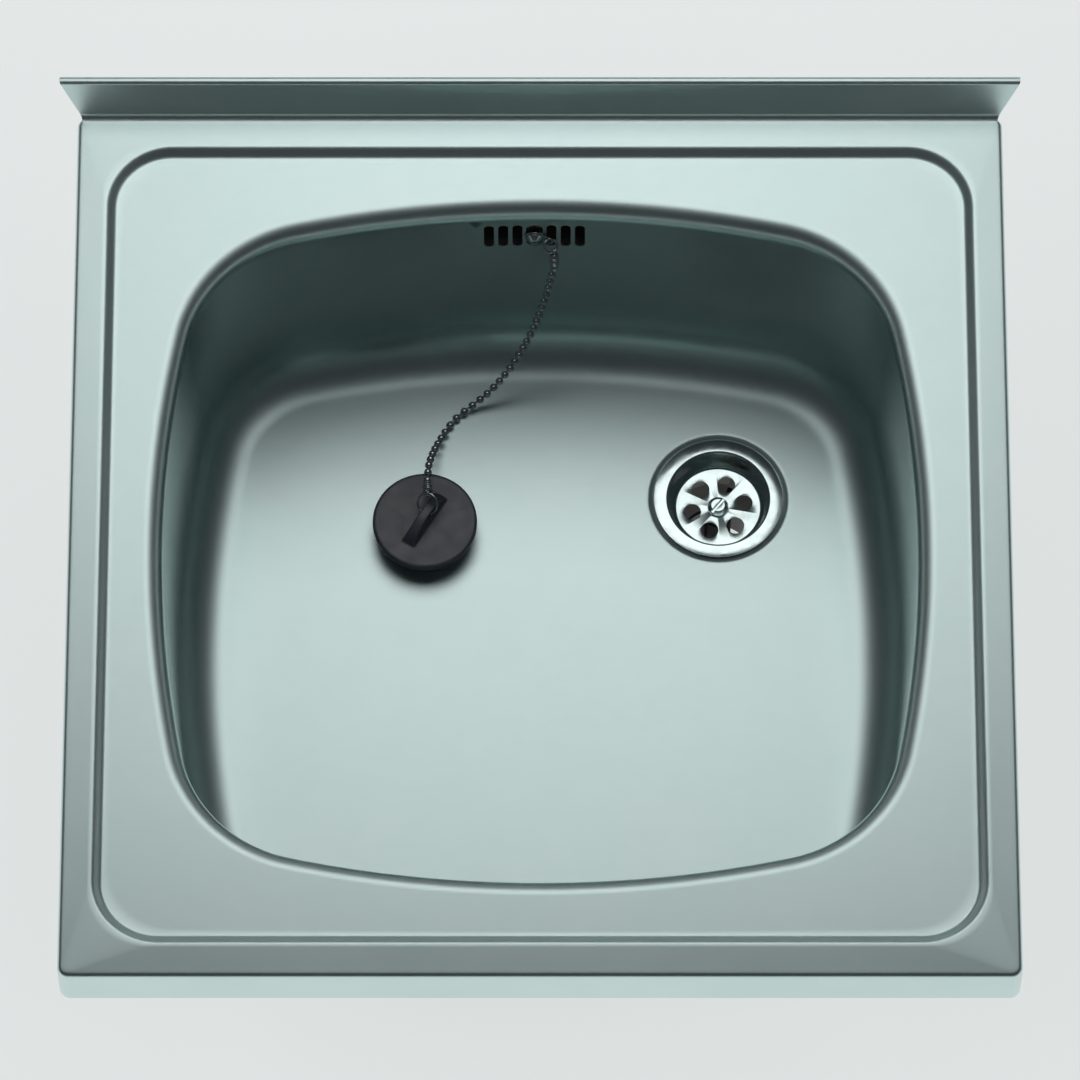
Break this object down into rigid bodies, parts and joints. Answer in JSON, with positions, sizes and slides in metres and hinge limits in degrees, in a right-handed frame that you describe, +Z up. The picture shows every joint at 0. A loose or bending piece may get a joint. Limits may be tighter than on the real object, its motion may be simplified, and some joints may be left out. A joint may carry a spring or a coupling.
{
  "type": "kitchen sink",
  "caption": "Lay-on steel kitchen sink with a cushion-shaped bowl, rear upstand, slotted overflow, strainer waste and a rubber plug on a ball chain.",
  "frame": {"origin": "middle of the seat: the plane of the rim band's underside, which rests on the cabinet's side panels", "axes": "+Z up, +Y towards the upstand and the wall, +X to the right seen from the front"},
  "size_m": [0.518, 0.5125, 0.2574],
  "materials": {
    "sheet_steel": "satin, fine brushed",
    "deadening_mat": "matt mat",
    "zinc_steel": "zinc plated",
    "strainer_steel": "bright polished",
    "seal_rubber": "matt",
    "white_plastic": "moulded, matt",
    "insert_brass": "turned",
    "chain_metal": "plated",
    "plug_rubber": "moulded, satin",
    "hose_plastic": "ribbed, satin"
  },
  "bodies": {
    "sink": {"sink_top": "sheet_steel", "sink_bowl": "sheet_steel", "deadening_pad": "deadening_mat", "fixing_brackets": "zinc_steel", "strainer_cup": "strainer_steel", "flange_seal": "seal_rubber", "strainer_screw": "strainer_steel", "body_seal": "seal_rubber", "waste_body": "white_plastic", "waste_insert": "insert_brass", "overflow_gasket": "seal_rubber", "overflow_housing": "white_plastic", "overflow_insert": "insert_brass", "overflow_screw": "strainer_steel", "chain_eyelet": "chain_metal", "anchor_ring": "chain_metal", "upper_coupling": "chain_metal", "ball_chain": "chain_metal", "overflow_hose": "hose_plastic", "hose_seal_upper": "seal_rubber", "hose_seal_lower": "seal_rubber", "hose_nut_upper": "white_plastic", "hose_nut_lower": "white_plastic"},
    "plug": {"rubber_plug": "plug_rubber", "plug_ring": "chain_metal", "lower_coupling": "chain_metal"}
  },
  "joints": [
    {"name": "plug_lift", "type": "slide", "parent": "sink", "child": "plug", "axis": [0, 0, 1], "range_m": [0, 0.15], "deforming": ["ball_chain"]}
  ]
}
